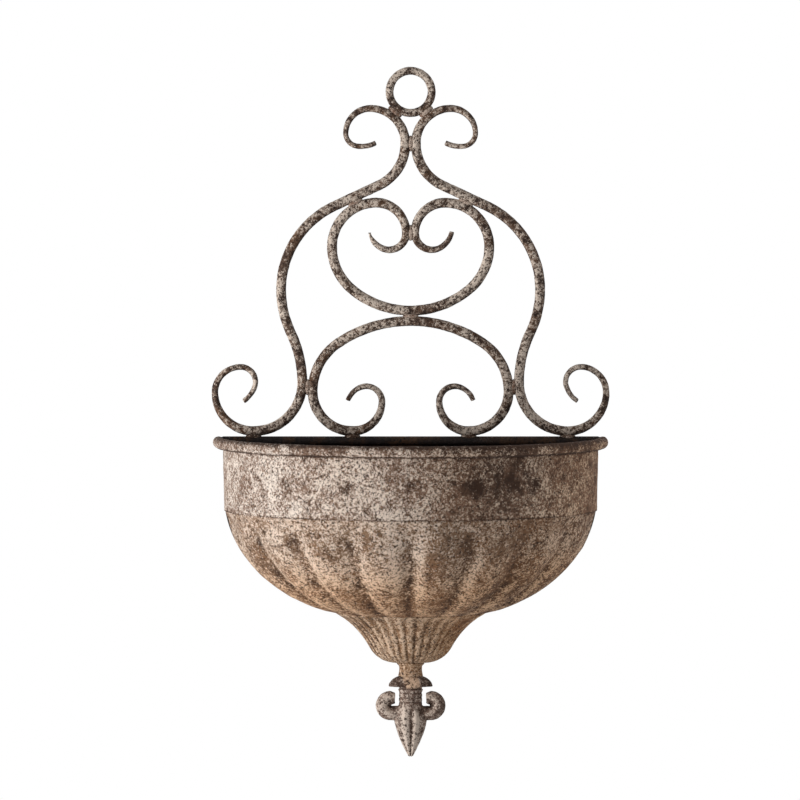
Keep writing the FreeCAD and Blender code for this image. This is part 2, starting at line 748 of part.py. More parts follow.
def stud_rod(name, diameter, foot, height):
    """A rod or bore on the stud's axis."""
    return cylinder(name, Vector(0, -finial_depth, foot), diameter, height)


def fluted_foot():
    """Cast half cup with ribs, a flat floor inside and a bore for the stud."""
    wall = size["foot_wall"]
    count = int(size["flute_count"])
    side = stations(foot_legs, (size["flare_station_count"], size["base_station_count"]))
    depths = [size["flute_depth"] * dip(station.share) for station in side]
    outer = [(station.radius, depth, station.height) for station, depth in zip(side, depths)]
    floor = foot_base[1] + size["foot_floor"]
    above = [station for station in side if station.height > floor + wall]
    inner = [inside(station, wall) for station in above]
    radius, _, height = inner[-1]
    slope = above[-1].across / above[-1].up
    inner.append((radius - (height - floor) * slope, 0.0, floor))
    cup = cut("foot_cup", lobed_loft("foot_outer", outer, count), lobed_loft("foot_inner", inner, count))
    cup.Placement = Placement(bowl_place, Rotation())
    bore = stud_rod("foot_bore", "Sizes.stud_bore_diameter", neck_z - wall, size["foot_floor"] + 2 * wall)
    return cut("foot", cup, bore)


def neck_collar(foot, plate):
    """Short spool whose top is shaped to the undersides of the foot and the back."""
    end, waist_radius = size["neck_diameter"] / 2, size["neck_waist_diameter"] / 2
    length, top = size["neck_length"], size["neck_entry"]
    curves = [
        Part.LineSegment(flat((0, -length)), flat((end, -length))),
        Part.Arc(flat((end, -length)), flat((waist_radius, -length / 2)), flat((end, 0))),
        Part.LineSegment(flat((end, 0)), flat((end, top))),
        Part.LineSegment(flat((end, top)), flat((0, top))),
        Part.LineSegment(flat((0, top)), flat((0, -length))),
    ]
    body = new_body("neck_spool", Vector(0, -finial_depth, neck_z))
    turned = body.newObject("PartDesign::Revolution", "neck_turned")
    turned.Profile = outline_sketch(body, "neck_profile", curves)
    turned.ReferenceAxis = (origin_feature(body, "Z_Axis"), [""])
    turned.Angle = 360
    bore = stud_rod("neck_bore", "Sizes.stud_bore_diameter", finial_z, length + top)
    return cut("neck", body, gather("neck_tools", [foot, plate, bore]))


def ellipsoid(name, place, across, forward, up, lowest=-90):
    """An ellipsoid with its half axes given as formulas, cut off below an angle."""
    shape = doc.addObject("Part::Ellipsoid", name)
    bind(shape, Radius1=up, Radius2=across, Radius3=forward)
    shape.Angle1 = lowest
    shape.Placement = Placement(place, Rotation())
    return shape


def middle_petal():
    """Pointed petal through flat ellipses, from the stem to the tip."""
    wide, deep = size["point_half_width"], size["point_half_depth"]
    tip = size["point_tip_width"] / 2
    stem = size["stem_diameter"] / 2
    drop, length = size["point_drop"], size["point_length"]
    rows = [(stem, stem, size["point_root"])]
    for share in (0.0, 0.3, 0.62, 0.88):
        taper = 1 - share ** size["point_bluntness"]
        rows.append((tip + (wide - tip) * taper, tip + (deep - tip) * taper, drop + length * share))
    rows.append((tip, tip, drop + length))
    loft = doc.addObject("Part::Loft", "middle_petal")
    sections = []
    for half_width, half_depth, down in rows:
        section = doc.addObject("Part::Ellipse", "middle_petal_section")
        section.MajorRadius = half_width
        section.MinorRadius = half_depth
        section.Placement = Placement(finial_point(drop=down), Rotation())
        sections.append(section)
    loft.Sections = sections
    loft.Solid = True
    return loft


def side_petal():
    """The right curled petal."""
    root = (0.0, finial_z - size["petal_drop"])
    legs = walk(
        root, 0, ((size["petal_reach"], 0), (size["petal_radius"], 180), (size["petal_tip_length"], 0))
    )
    return [
        bar("petal_root", legs[:2], "petal_thickness", "petal_thickness", "petal_depth", finial_depth),
        bar("petal_end", legs[2:], "petal_thickness", "petal_tip_thickness", "petal_depth", finial_depth),
    ]


def fleur_finial():
    """Cast fleur-de-lis, hanging point down, with a threaded hole for the stud."""
    crown = ellipsoid(
        "crown",
        finial_point(drop=size["crown_height"]),
        "Sizes.crown_half_width",
        "Sizes.crown_half_depth",
        "Sizes.crown_height",
        lowest=0,
    )
    leaf = ellipsoid(
        "leaf",
        finial_point(drop=size["leaf_half_height"], forward=size["leaf_half_depth"]),
        "Sizes.leaf_half_width",
        "Sizes.leaf_half_depth",
        "Sizes.leaf_half_height",
    )
    stem_foot = finial_point(drop=size["crown_height"] + size["stem_length"])
    stem = cylinder("stem", stem_foot, "Sizes.stem_diameter", size["stem_length"])
    bead = doc.addObject("Part::Torus", "stem_bead")
    bead_radius = "(Sizes.stem_diameter - Sizes.stem_bead_diameter / 2) / 2"
    bind(bead, Radius1=bead_radius, Radius2=half("stem_bead_diameter"))
    bead.Placement = Placement(
        finial_point(drop=size["crown_height"] + size["stem_bead_diameter"]), Rotation()
    )
    petals = side_petal()
    petals += [mirrored(f"{petal.Name}_twin", petal) for petal in petals]
    casting = fuse("finial_casting", [crown, leaf, stem, bead, middle_petal()] + petals)
    depth = size["stud_depth"]
    hole = stud_rod("finial_hole", "Sizes.stud_diameter + Sizes.thread_clearance", finial_z - depth, depth)
    return cut("finial", casting, hole)


def finial_stud():
    foot = finial_z - size["stud_depth"]
    top = floor_z + size["washer_thickness"] + size["nut_height"] + size["stud_end"]
    return stud_rod("stud", "Sizes.stud_diameter", foot, top - foot)


def stud_washer():
    thick = size["washer_thickness"]
    disc = stud_rod("washer_disc", "Sizes.washer_diameter", floor_z, thick)
    return cut("washer", disc, stud_rod("washer_bore", "Sizes.stud_bore_diameter", floor_z, thick))


def stud_nut():
    seat = floor_z + size["washer_thickness"]
    block = doc.addObject("Part::Prism", "nut_block")
    bind(block, Circumradius="Sizes.nut_width / 2 / cos(30 deg)", Height="Sizes.nut_height")
    block.Polygon = 6
    block.Placement = Placement(Vector(0, -finial_depth, seat), Rotation())
    thread_diameter = "Sizes.stud_diameter + Sizes.thread_clearance"
    thread = stud_rod("nut_thread", thread_diameter, seat, size["nut_height"])
    return cut("nut", block, thread)


ring = hanging_ring()
right_scroll = side_scroll()
left_scroll = mirrored("side_scroll_twin", right_scroll)
heart = heart_scroll()
arch = arch_scroll()
plate = back_plate()
rail = back_rail()
band = upper_band()
wire = rim_wire()
foot = fluted_foot()
sides = [left_scroll, right_scroll]

subparts = {
    "hanging_ring": ring,
    "left_side_scroll": left_scroll,
    "right_side_scroll": right_scroll,
    "heart_scroll": heart,
    "arch_scroll": arch,
    "ring_welds": welds("ring_weld", ring_weld_spots(), [ring] + sides),
    "waist_weld": welds("waist_weld", [(0.0, waist[1], math.pi / 2)], sides),
    "heart_welds": welds("heart_weld", heart_weld_spots(), [heart] + sides),
    "arch_welds": welds("arch_weld", arch_weld_spots(), [arch, heart] + sides),
    "foot_welds": welds("foot_weld", foot_weld_spots(), [arch, plate, rail, band, wire] + sides),
    "back_plate": plate,
    "back_rail": rail,
    "upper_band": band,
    "rim_wire": wire,
    "gadroon_bowl": gadroon_bowl(),
    "fluted_foot": foot,
    "neck_collar": neck_collar(foot, plate),
    "fleur_finial": fleur_finial(),
    "finial_stud": finial_stud(),
    "stud_washer": stud_washer(),
    "stud_nut": stud_nut(),
}
doc.recompute()

for thing in doc.Objects:
    if "Invalid" in thing.State or "Error" in thing.State:
        raise RuntimeError(f"{thing.Name} did not build: {thing.State}")

os.makedirs("parts", exist_ok=True)
for label, thing in subparts.items():
    thing.Label = label
    if thing.Shape.isNull() or not thing.Shape.isValid():
        raise RuntimeError(f"{label} has no valid shape")
    thing.Shape.exportStep(f"parts/{label}.step")
    box = thing.Shape.BoundBox
    print(
        f"{label}: {len(thing.Shape.Solids)} solids, {thing.Shape.Volume:.0f} mm3, "
        f"x {box.XMin:.1f} {box.XMax:.1f}, y {box.YMin:.1f} {box.YMax:.1f}, z {box.ZMin:.1f} {box.ZMax:.1f}"
    )
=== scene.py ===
import math

import bpy
import numpy as np
from mathutils import Matrix, Vector
from mathutils.bvhtree import BVHTree


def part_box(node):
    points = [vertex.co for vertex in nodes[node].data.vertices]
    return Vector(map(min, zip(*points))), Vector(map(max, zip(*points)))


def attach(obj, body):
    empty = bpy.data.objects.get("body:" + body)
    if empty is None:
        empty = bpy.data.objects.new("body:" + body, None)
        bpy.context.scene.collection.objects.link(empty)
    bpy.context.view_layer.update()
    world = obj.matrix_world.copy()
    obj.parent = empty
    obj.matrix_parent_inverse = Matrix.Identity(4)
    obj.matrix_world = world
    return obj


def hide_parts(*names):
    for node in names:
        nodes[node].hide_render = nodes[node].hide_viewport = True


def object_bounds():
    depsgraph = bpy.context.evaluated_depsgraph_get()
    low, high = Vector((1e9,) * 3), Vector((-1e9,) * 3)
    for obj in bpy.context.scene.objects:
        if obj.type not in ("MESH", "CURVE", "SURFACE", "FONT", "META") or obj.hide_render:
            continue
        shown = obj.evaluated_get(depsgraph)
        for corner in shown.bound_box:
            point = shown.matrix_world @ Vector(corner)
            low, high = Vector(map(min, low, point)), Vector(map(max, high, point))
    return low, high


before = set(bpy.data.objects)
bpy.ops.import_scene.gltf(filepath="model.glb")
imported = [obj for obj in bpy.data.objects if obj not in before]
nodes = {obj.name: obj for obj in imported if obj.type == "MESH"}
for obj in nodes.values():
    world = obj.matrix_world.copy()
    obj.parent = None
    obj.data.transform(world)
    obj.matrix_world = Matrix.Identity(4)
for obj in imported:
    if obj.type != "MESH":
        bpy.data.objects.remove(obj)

cad_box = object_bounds()
MM = 0.001

# Places that the dressed pieces share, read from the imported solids
AXIS_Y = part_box("back_plate")[0].y
band_low, band_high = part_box("upper_band")
bowl_low, bowl_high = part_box("gadroon_bowl")
wire_low, wire_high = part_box("rim_wire")
foot_low, foot_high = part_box("fluted_foot")
finial_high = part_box("fleur_finial")[1]
wire_z = (wire_low.z + wire_high.z) / 2
wire_r = wire_high.x - (wire_high.z - wire_low.z) / 2
roll_r = band_high.z - wire_z
seam_z = band_low.z
foot_r = foot_high.x
foot_z = foot_low.z


def bell(distance, width):
    """Smooth bump of height 1 at distance 0."""
    return np.exp(-((distance / width) ** 2))


def ramp(value, start, end):
    """Smooth step from 0 at start to 1 at end."""
    share = np.clip((value - start) / (end - start), 0.0, 1.0)
    return share * share * (3 - 2 * share)


def added(name, data):
    """A new object in the scene."""
    made = bpy.data.objects.new(name, data)
    bpy.context.scene.collection.objects.link(made)
    return made


# Materials

NOISE_TURN = (0.5, 0.7, 0.3)  # keeps the noise out of line with the axes
PATCH_MM = 55
RUST_MM = 28
GRAIN_MM = 2.4
PIT_MM = 2.3
BUMP_HEIGHT = 1.0 * MM

RUST = (0.26, 0.125, 0.055)
RUST_TINT = (1.06, 0.86, 0.66)
# Dark browns for blotches, pits and dirt, and for painted shade
DARK_BROWN = (0.046, 0.024, 0.015)
DEEP_BROWN = (0.025, 0.013, 0.009)
# Near black, for painted shade
SHADE_BLACK = (0.004, 0.002, 0.002)


class Graph:
    """Short names for building one material's nodes."""

    def __init__(self, name):
        self.material = bpy.data.materials.new(name)
        self.material.use_nodes = True
        self.tree = self.material.node_tree
        self.shader = self.tree.nodes["Principled BSDF"]
        turned = self.node("ShaderNodeMapping")
        turned.inputs["Rotation"].default_value = NOISE_TURN
        self.put(turned.inputs["Vector"], self.node("ShaderNodeTexCoord").outputs["Object"])
        self.place = turned.outputs["Vector"]

    def node(self, kind, **settings):
        made = self.tree.nodes.new(kind)
        for name, value in settings.items():
            setattr(made, name, value)
        return made

    def put(self, socket, value):
        """Link a socket, or set a plain value."""
        if isinstance(value, bpy.types.NodeSocket):
            self.tree.links.new(value, socket)
        else:
            socket.default_value = value

    def mark(self, name):
        """What marked() stored on the mesh, or 0."""
        return self.node("ShaderNodeAttribute", attribute_name=name).outputs["Fac"]

    def noise(self, size_mm, detail, rough, distortion, seed):
        """Noise whose features are about size_mm across."""
        made = self.node("ShaderNodeTexNoise", noise_dimensions="4D")
        self.put(made.inputs["Vector"], self.place)
        self.put(made.inputs["W"], seed)
        self.put(made.inputs["Scale"], 1000 / size_mm)
        self.put(made.inputs["Detail"], detail)
        self.put(made.inputs["Roughness"], rough)
        self.put(made.inputs["Distortion"], distortion)
        return made.outputs["Fac"]

    def step(self, value, start, end, low=0.0, high=1.0):
        """Smooth step of a value."""
        made = self.node("ShaderNodeMapRange", interpolation_type="SMOOTHSTEP")
        names = ("Value", "From Min", "From Max", "To Min", "To Max")
        for name, number in zip(names, (value, start, end, low, high)):
            self.put(made.inputs[name], number)
        return made.outputs["Result"]

    def math(self, operation, first, second):
        made = self.node("ShaderNodeMath", operation=operation)
        self.put(made.inputs[0], first)
        self.put(made.inputs[1], second)
        return made.outputs[0]

    def total(self, *terms):
        """Sum of values, each given with its weight."""
        parts = [self.math("MULTIPLY", value, weight) for value, weight in terms]
        result = parts[0]
        for part in parts[1:]:
            result = self.math("ADD", result, part)
        return result

    def mix(self, share, first, second, blend="MIX"):
        made = self.node("ShaderNodeMix", data_type="RGBA", blend_type=blend)
        self.put(made.inputs["Factor"], share)
        for name, value in (("A", first), ("B", second)):
            socket = next(s for s in made.inputs if s.name == name and s.type == "RGBA")
            self.put(socket, (*value, 1.0) if isinstance(value, tuple) else value)
        return next(s for s in made.outputs if s.type == "RGBA")


def iron(
    name,
    seed,
    coat,
    pale,
    dark=DARK_BROWN,
    pale_share=0.5,
    rust_share=0.2,
    blotch_mm=9,
    mottle=0.18,
    clean=0.50,
):
    """Weathered painted iron: a brown coat, dark pits, pale worn grain and patches of rust.

    Dark blotches end at the noise level clean, and mottle is the blotches' part in where the coat is
    worn. The mesh attributes soil, wear and rust, where a piece has them, darken its
    hollows and paint shade on it, bare its edges and paint light on it, and redden it.
    """
    g = Graph(name)
    patch = g.noise(PATCH_MM, 4, 0.6, 0.5, seed)
    blotch = g.noise(blotch_mm, 5, 0.66, 0.4, seed + 1)
    grain = g.noise(GRAIN_MM, 4, 0.9, 0.0, seed + 2)
    pit = g.noise(PIT_MM, 2, 0.7, 0.0, seed + 3)
    rusty = g.step(g.noise(RUST_MM, 5, 0.65, 0.8, seed + 4), 0.46, 0.64)
    soil = g.mark("soil")
    rust = g.mark("rust")
    edge = g.node("ShaderNodeNewGeometry").outputs["Pointiness"]
    # Pale where the coat is worn, and where the wear marks paint light on it
    worn_and_lit = g.total(
        (grain, 0.78 - mottle),
        (blotch, mottle),
        (patch, 0.22),
        (g.mark("wear"), 0.12),
        (soil, -0.08),
    )
    worn_level = 0.60 - 0.20 * pale_share
    # Dirt and painted shade from the soil marks, broken up by the blotches
    shade_and_grime = g.math("MULTIPLY", soil, g.step(blotch, 0.34, 0.60, 1.0, 0.5))

    # From the coat up: blotches, patches of rust, soil and painted shade, pale grain and painted light,
    # a rusty tint, pits and hollows
    colour = g.mix(g.step(blotch, clean - 0.26, clean), dark, coat)
    colour = g.mix(g.math("MULTIPLY", rusty, rust_share), colour, RUST)
    colour = g.mix(g.step(shade_and_grime, 0.03, 0.52, 0.0, 0.97), colour, dark)
    colour = g.mix(g.step(worn_and_lit, worn_level - 0.022, worn_level + 0.022), colour, pale)
    colour = g.mix(rust, colour, RUST_TINT, "MULTIPLY")
    colour = g.mix(g.step(pit, 0.37, 0.47, 0.92, 0.0), colour, dark)
    colour = g.mix(g.step(edge, 0.44, 0.495, 0.35, 0.0), colour, dark)
    g.put(g.shader.inputs["Base Color"], colour)
    g.put(g.shader.inputs["Roughness"], g.step(worn_and_lit, 0.35, 0.70, 0.92, 0.70))
    g.put(g.shader.inputs["Specular IOR Level"], 0.30)

    pressed = g.node("ShaderNodeBump")
    g.put(pressed.inputs["Strength"], 0.9)
    g.put(pressed.inputs["Distance"], BUMP_HEIGHT)
    pits = g.step(pit, 0.34, 0.43, -0.4, 0.0)
    g.put(pressed.inputs["Height"], g.total((grain, 0.9), (blotch, 1.2), (pits, 1.0)))
    g.put(g.shader.inputs["Normal"], pressed.outputs["Normal"])
    return g.material


bar_iron = iron(
    "bar_iron",
    1,
    coat=(0.175, 0.105, 0.072),
    pale=(0.77, 0.645, 0.54),
    dark=DEEP_BROWN,
    rust_share=0.3,
    blotch_mm=6,
    mottle=0.34,
    clean=0.60,
)
band_iron = iron("band_iron", 11, coat=(0.235, 0.147, 0.104), pale=(0.79, 0.68, 0.59), rust_share=0.1)
bowl_iron = iron("bowl_iron", 21, coat=(0.235, 0.14, 0.084), pale=(0.75, 0.60, 0.487), rust_share=0.35)
cast_iron = iron("cast_iron", 31, coat=(0.265, 0.156, 0.084), pale=(0.67, 0.50, 0.367), rust_share=0.45)
finial_iron = iron(
    "finial_iron",
    41,
    coat=(0.22, 0.15, 0.12),
    pale=(0.66, 0.545, 0.46),
    rust_share=0.15,
    clean=0.56,
)
# Near-black iron: painted shade for the back plate and its rail, which stand in the shade behind the rim
shade_black_iron = iron(
    "shade_black_iron",
    51,
    coat=(0.012, 0.007, 0.006),
    pale=(0.06, 0.042, 0.036),
    dark=SHADE_BLACK,
    pale_share=0.15,
)
fastener_steel = iron(
    "fastener_steel",
    61,
    coat=(0.20, 0.18, 0.165),
    pale=(0.42, 0.40, 0.38),
    pale_share=0.4,
    rust_share=0.4,
)
weld_iron = iron("weld_iron", 71, coat=(0.25, 0.15, 0.105), pale=(0.64, 0.51, 0.42), rust_share=0.4)


# Making pieces


def remeshed(node, voxel_mm):
    """An even mesh of a CAD solid, as a new mesh."""
    scratch = added(f"{node}_scratch", nodes[node].data.copy())
    remesh = scratch.modifiers.new("remesh", "REMESH")
    remesh.mode = "VOXEL"
    remesh.voxel_size = voxel_mm * MM
    smooth = scratch.modifiers.new("smooth", "SMOOTH")
    smooth.factor = 0.5
    smooth.iterations = 3
    made = bpy.data.meshes.new_from_object(scratch.evaluated_get(bpy.context.evaluated_depsgraph_get()))
    bpy.data.objects.remove(scratch)
    return made


def relief(piece, name, size_mm, height_mm):
    """Procedural relief pressed into a piece along its normals."""
    texture = bpy.data.textures.get(name) or bpy.data.textures.new(name, "CLOUDS")
    texture.noise_scale = size_mm * MM
    press = piece.modifiers.new(name, "DISPLACE")
    press.texture = texture
    press.texture_coords = "LOCAL"
    press.mid_level = 0.5
    press.strength = height_mm * MM


def dressed(name, mesh, node, material, reliefs):
    """A piece that stands for a CAD node."""
    mesh.materials.clear()
    mesh.materials.append(material)
    mesh.polygons.foreach_set("use_smooth", np.ones(len(mesh.polygons), bool))
    piece = added(name, mesh)
    for one in reliefs:
        relief(piece, *one)
    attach(piece, "root")
    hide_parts(node)


def points(mesh):
    """The places and the normals of a mesh's vertices, a row for each."""
    rows = []
    for name in ("co", "normal"):
        flat = np.empty(3 * len(mesh.vertices))
        mesh.vertices.foreach_get(name, flat)
        rows.append(flat.reshape(-1, 3))
    return rows


def reshaped(mesh, shape):
    """Move a mesh's vertices along their normals by what a function of places and normals gives."""
    places, normals = points(mesh)
    mesh.vertices.foreach_set("co", (places + normals * shape(places, normals)[:, None]).ravel())
    mesh.update()
    return mesh


def marked(mesh, **marks):
    """Store marks such as dirt and painted shade, each a function of places and normals, on a mesh's
    points.
    """
    places, normals = points(mesh)
    for name, mark in marks.items():
        values = np.clip(mark(places, normals), 0.0, 1.0)
        mesh.attributes.new(name, "FLOAT", "POINT").data.foreach_set("value", values.astype(np.float32))
    return mesh


def round_axis(places, normals):
    """Angle from the right end, radius, and how far the surface faces away from the bowl's axis."""
    x, forward = places[:, 0], AXIS_Y - places[:, 1]
    radius = np.hypot(x, forward)
    outward = (normals[:, 0] * x - normals[:, 1] * forward) / np.maximum(radius, MM)
    return np.arctan2(forward, x), radius, outward


def from_valley(angle, radius, pitch):
    """Way round the outside from the nearest valley, towards the left."""
    step = angle / pitch
    return (step - np.floor(step) - 0.5) * pitch * radius


def softened(hits, columns_wide):
    """Hits blurred round the axis, which rounds the valleys between lobes."""
    reach = 3 * columns_wide
    weights = np.exp(-0.5 * (np.arange(-reach, reach + 1) / columns_wide) ** 2)
    padded = np.pad(hits, ((reach, reach), (0, 0), (0, 0)), "reflect")
    return sum(w * padded[k : k + len(hits)] for k, w in enumerate(weights / weights.sum()))


FAR = 0.08
EDGE = 0.05 * MM
END_INSET = 1e-4  # radians that keep the end columns' rays off the flat ends of the solid
SHARP_ANGLE = math.radians(50)


def resampled(node, rays, columns, soften=1):
    """Closed half-round sheet of a CAD solid.

    Each ray, from one (radius, height) towards another, is cast at every column round the axis.
    """
    source = nodes[node].data
    tree = BVHTree.FromPolygons([v.co for v in source.vertices], [p.vertices for p in source.polygons])
    rows = len(rays)
    angles = np.linspace(0.0, math.pi, columns)
    hits = np.empty((columns, rows, 2))
    for column, angle in enumerate(np.clip(angles, END_INSET, math.pi - END_INSET)):
        across, forward = math.cos(angle), math.sin(angle)
        for row, (start, target) in enumerate(rays):
            a = Vector((start[0] * across, AXIS_Y - start[0] * forward, start[1]))
            b = Vector((target[0] * across, AXIS_Y - target[0] * forward, target[1]))
            hit = tree.ray_cast(a, (b - a).normalized())[0]
            hits[column, row] = (math.hypot(hit.x, hit.y - AXIS_Y), hit.z)
    radii, heights = np.moveaxis(softened(hits, soften), 2, 0)
    across, forward = np.cos(angles)[:, None], np.sin(angles)[:, None]
    places = np.stack((radii * across, AXIS_Y - radii * forward, heights), axis=2)
    faces = [
        (c * rows + r, c * rows + (r + 1) % rows, (c + 1) * rows + (r + 1) % rows, (c + 1) * rows + r)
        for c in range(columns - 1)
        for r in range(rows)
    ]
    faces.append(tuple(range(rows))[::-1])
    faces.append(tuple(range((columns - 1) * rows, columns * rows)))
    mesh = bpy.data.meshes.new(f"{node}_sheet")
    mesh.from_pydata(places.reshape(-1, 3).tolist(), [], faces)
    mesh.update()
    mesh.set_sharp_from_angle(angle=SHARP_ANGLE)
    return mesh


# Band and bowl

SHEET_RELIEF = (("sheet_dents", 22, 0.9), ("sheet_lumps", 7, 0.45), ("sheet_pits", 2.4, 0.30))
LOBE_PITCH = math.pi / 9
BAND_COLUMNS = 590
BAND_OUTER_ROWS = 60
BAND_ROLL_ROWS = 30
BAND_INNER_ROWS = 18
ROLL_START = math.radians(-118)
ROLL_END = math.radians(176)
ROLL_CLEARANCE = 0.6 * MM
BOWL_COLUMNS = 560
BOWL_OUTER_ROWS = 128
BOWL_INNER_ROWS = 26
VALLEY_SOFTENING = 4

DIMPLE_DROP = 40 * MM
DIMPLE_WIDTH = 8 * MM
DIMPLE_SOIL = (0.5, 0.6, 0.8, 1.0, 0.95, 0.95, 0.75, 0.4, 0.35)  # from the right end
STAIN_ANGLE = math.radians(64)
STAIN_RISE = 6 * MM
STAIN_WIDTH = 26 * MM
STAIN_STRETCH = 1.8


def band_rays():
    """Up the outside of the band, over its rolled rim, and down the inside."""
    rays = []
    for z in np.linspace(seam_z + EDGE, wire_z - 0.93 * roll_r, BAND_OUTER_ROWS):
        rays.append(((wire_r + FAR, z), (0.0, z)))
    reach = roll_r + ROLL_CLEARANCE
    for angle in np.linspace(ROLL_START, ROLL_END, BAND_ROLL_ROWS):
        start = (wire_r + reach * math.cos(angle), wire_z + reach * math.sin(angle))
        rays.append((start, (wire_r, wire_z)))
    for z in np.linspace(wire_z - 0.4 * roll_r, seam_z + EDGE, BAND_INNER_ROWS):
        rays.append(((0.0, z), (wire_r + FAR, z)))
    return rays


def bowl_rays():
    """Up the outside of the bowl and down the inside, all in line with the middle of the seam."""
    lowest = math.atan2(bowl_low.z - seam_z, foot_r - 1.5 * MM)
    collar = math.atan2(bowl_high.z - seam_z - EDGE, bowl_high.x)
    rays = []
    reach = bowl_high.x + FAR
    for angle in np.linspace(lowest, collar, BOWL_OUTER_ROWS):
        rays.append(((reach * math.cos(angle), seam_z + reach * math.sin(angle)), (0.0, seam_z)))
    for angle in np.linspace(collar, lowest, BOWL_INNER_ROWS):
        rays.append(((0.0, seam_z), (reach * math.cos(angle), seam_z + reach * math.sin(angle))))
    return rays


def band_soil(places, normals):
    """Dark dimples, a stain on the right, and painted shade at the rim, the lap, the right side and
    inside.
    """
    angle, radius, outward = round_axis(places, normals)
    x, z = places[:, 0], places[:, 2]
    rise = z - (band_high.z - DIMPLE_DROP)
    # Painted shade: a dark line in the crease under the rolled rim, and a painted shadow under the lap
    soil = 0.85 * bell(z - (wire_z - 0.95 * roll_r), 1.1 * MM)
    soil += (0.65 + 0.35 * np.sin(9 * angle)) * bell(z - seam_z, 0.9 * MM)
    for number, depth in enumerate(DIMPLE_SOIL):
        along = radius * (angle - (number + 0.5) * LOBE_PITCH)
        soil += 0.52 * depth * bell(np.hypot(along, rise), DIMPLE_WIDTH)
    along = radius * (angle - STAIN_ANGLE)
    soil += 0.36 * bell(np.hypot(along / STAIN_STRETCH, rise - STAIN_RISE), STAIN_WIDTH)
    # Darker towards the right, painted shade away from the light, and a little darker left of the middle
    soil += 0.20 * ramp(x, -30 * MM, 110 * MM) + 0.08 * bell(x + 75 * MM, 45 * MM)
    # Painted shade on upward faces and up the rolled rim
    soil += 0.40 * ramp(normals[:, 2], 0.2, 0.9) + 0.25 * ramp(z, wire_z - roll_r, wire_z)
    # The inside is painted dark for its shade
    inside = outward < -0.4
    return np.where(inside, 1.0, soil)


def band_rust(places, normals):
    """Redder from the left to the right, most of all at the right end."""
    x = places[:, 0]
    middle = 0.15 * ramp(x, -130 * MM, -60 * MM) + 0.35 * ramp(x, -20 * MM, 60 * MM)
    return middle + 0.45 * ramp(x, 100 * MM, 180 * MM)


def bowl_soil(places, normals):
    """Dark valleys between lobes, fainter on the right, darker ends, a dark inside; mostly painted shade.
    """
    angle, radius, outward = round_axis(places, normals)
    x, drop = places[:, 0], seam_z - places[:, 2]
    away = from_valley(angle, radius, LOBE_PITCH)
    below = ramp(drop, 4 * MM, 24 * MM) * (1 - 0.5 * ramp(x, 20 * MM, 120 * MM))
    # Valleys: a narrow dark line of dirt, and painted shade on the flank that faces right, away from the
    # light
    soil = (0.14 * bell(away, 3.5 * MM) + 0.28 * bell(away - 3 * MM, 9 * MM)) * below
    # Painted shade: darker low on both sides, towards the right and the far left, and at the right edge
    low_sides = 0.22 * ramp(x, 20 * MM, 110 * MM) + 0.10 * ramp(-x, 60 * MM, 130 * MM)
    soil += low_sides * ramp(drop, 40 * MM, 90 * MM)
    soil += 0.19 * ramp(x, -10 * MM, 120 * MM) + 0.14 * ramp(-x, 80 * MM, 160 * MM)
    soil += 0.14 * ramp(x, 145 * MM, 178 * MM)
    # The inside is painted dark for its shade
    inside = (outward < -0.3) | (normals[:, 2] > 0.5)
    return np.where(inside, 1.0, soil)


def bowl_wear(places, normals):
    """Painted light: paler left flanks of the lobes, which face the light."""
    angle, radius, _ = round_axis(places, normals)
    below = ramp(seam_z - places[:, 2], 10 * MM, 30 * MM)
    return 0.30 * bell(from_valley(angle, radius, LOBE_PITCH) + 9 * MM, 6 * MM) * below


def bowl_rust(places, normals):
    """Redder lower down, underneath and towards the right end."""
    lower = 0.45 * ramp(seam_z - places[:, 2], 25 * MM, 90 * MM)
    underneath = 0.55 * ramp(-normals[:, 2], 0.35, 0.9)
    return lower + underneath + 0.5 * ramp(places[:, 0], 20 * MM, 140 * MM)


band = marked(resampled("upper_band", band_rays(), BAND_COLUMNS), soil=band_soil, rust=band_rust)
dressed("rolled_band", band, "upper_band", band_iron, SHEET_RELIEF)
bowl = resampled("gadroon_bowl", bowl_rays(), BOWL_COLUMNS, VALLEY_SOFTENING)
bowl = marked(bowl, soil=bowl_soil, wear=bowl_wear, rust=bowl_rust)
dressed("lobed_bowl", bowl, "gadroon_bowl", bowl_iron, SHEET_RELIEF)


# Bars and welds

BAR_RELIEF = (("bar_lumps", 9, 0.55), ("bar_pits", 2.4, 0.30))
WELD_RELIEF = (("bead_pits", 2.0, 0.25),)
BAR_VOXEL_MM = 0.8
WELD_VOXEL_MM = 0.35
RAIL_STRETCH = 1.02  # takes the rail's ends into the rolled rim
HEART_END = (-40.8 * MM, -138.6 * MM)


def bar_soil(places, normals):
    """Painted shade: darker sides than fronts, most of all to the lower right, away from the light."""
    lower_right = 0.8 * normals[:, 0] - 0.6 * normals[:, 2]
    return 0.5 * ramp(normals[:, 1], -0.80, -0.10) + 0.35 * lower_right


def heart_point(places, normals):
    """The heart's left end is drawn out to a point."""
    from_end = np.hypot(places[:, 0] - HEART_END[0], places[:, 2] - HEART_END[1])
    return -1.5 * MM * ramp(from_end, 14 * MM, 1 * MM)


def weld_soil(places, normals):
    """Painted shade: the welds on the back's edge are dark, as the back behind them is in shade."""
    return 0.6 * ramp(-places[:, 2], -band_high.z - 20 * MM, -band_high.z - 10 * MM)


for node in ("left_side_scroll", "right_side_scroll", "heart_scroll", "arch_scroll", "hanging_ring"):
    bar = remeshed(node, BAR_VOXEL_MM)
    if node == "heart_scroll":
        bar = reshaped(bar, heart_point)
    bar = marked(bar, soil=bar_soil)
    dressed(f"{node}_forged", bar, node, bar_iron, BAR_RELIEF)
rail = remeshed("back_rail", BAR_VOXEL_MM)
rail.transform(Matrix.Scale(RAIL_STRETCH, 4, Vector((1, 0, 0))))
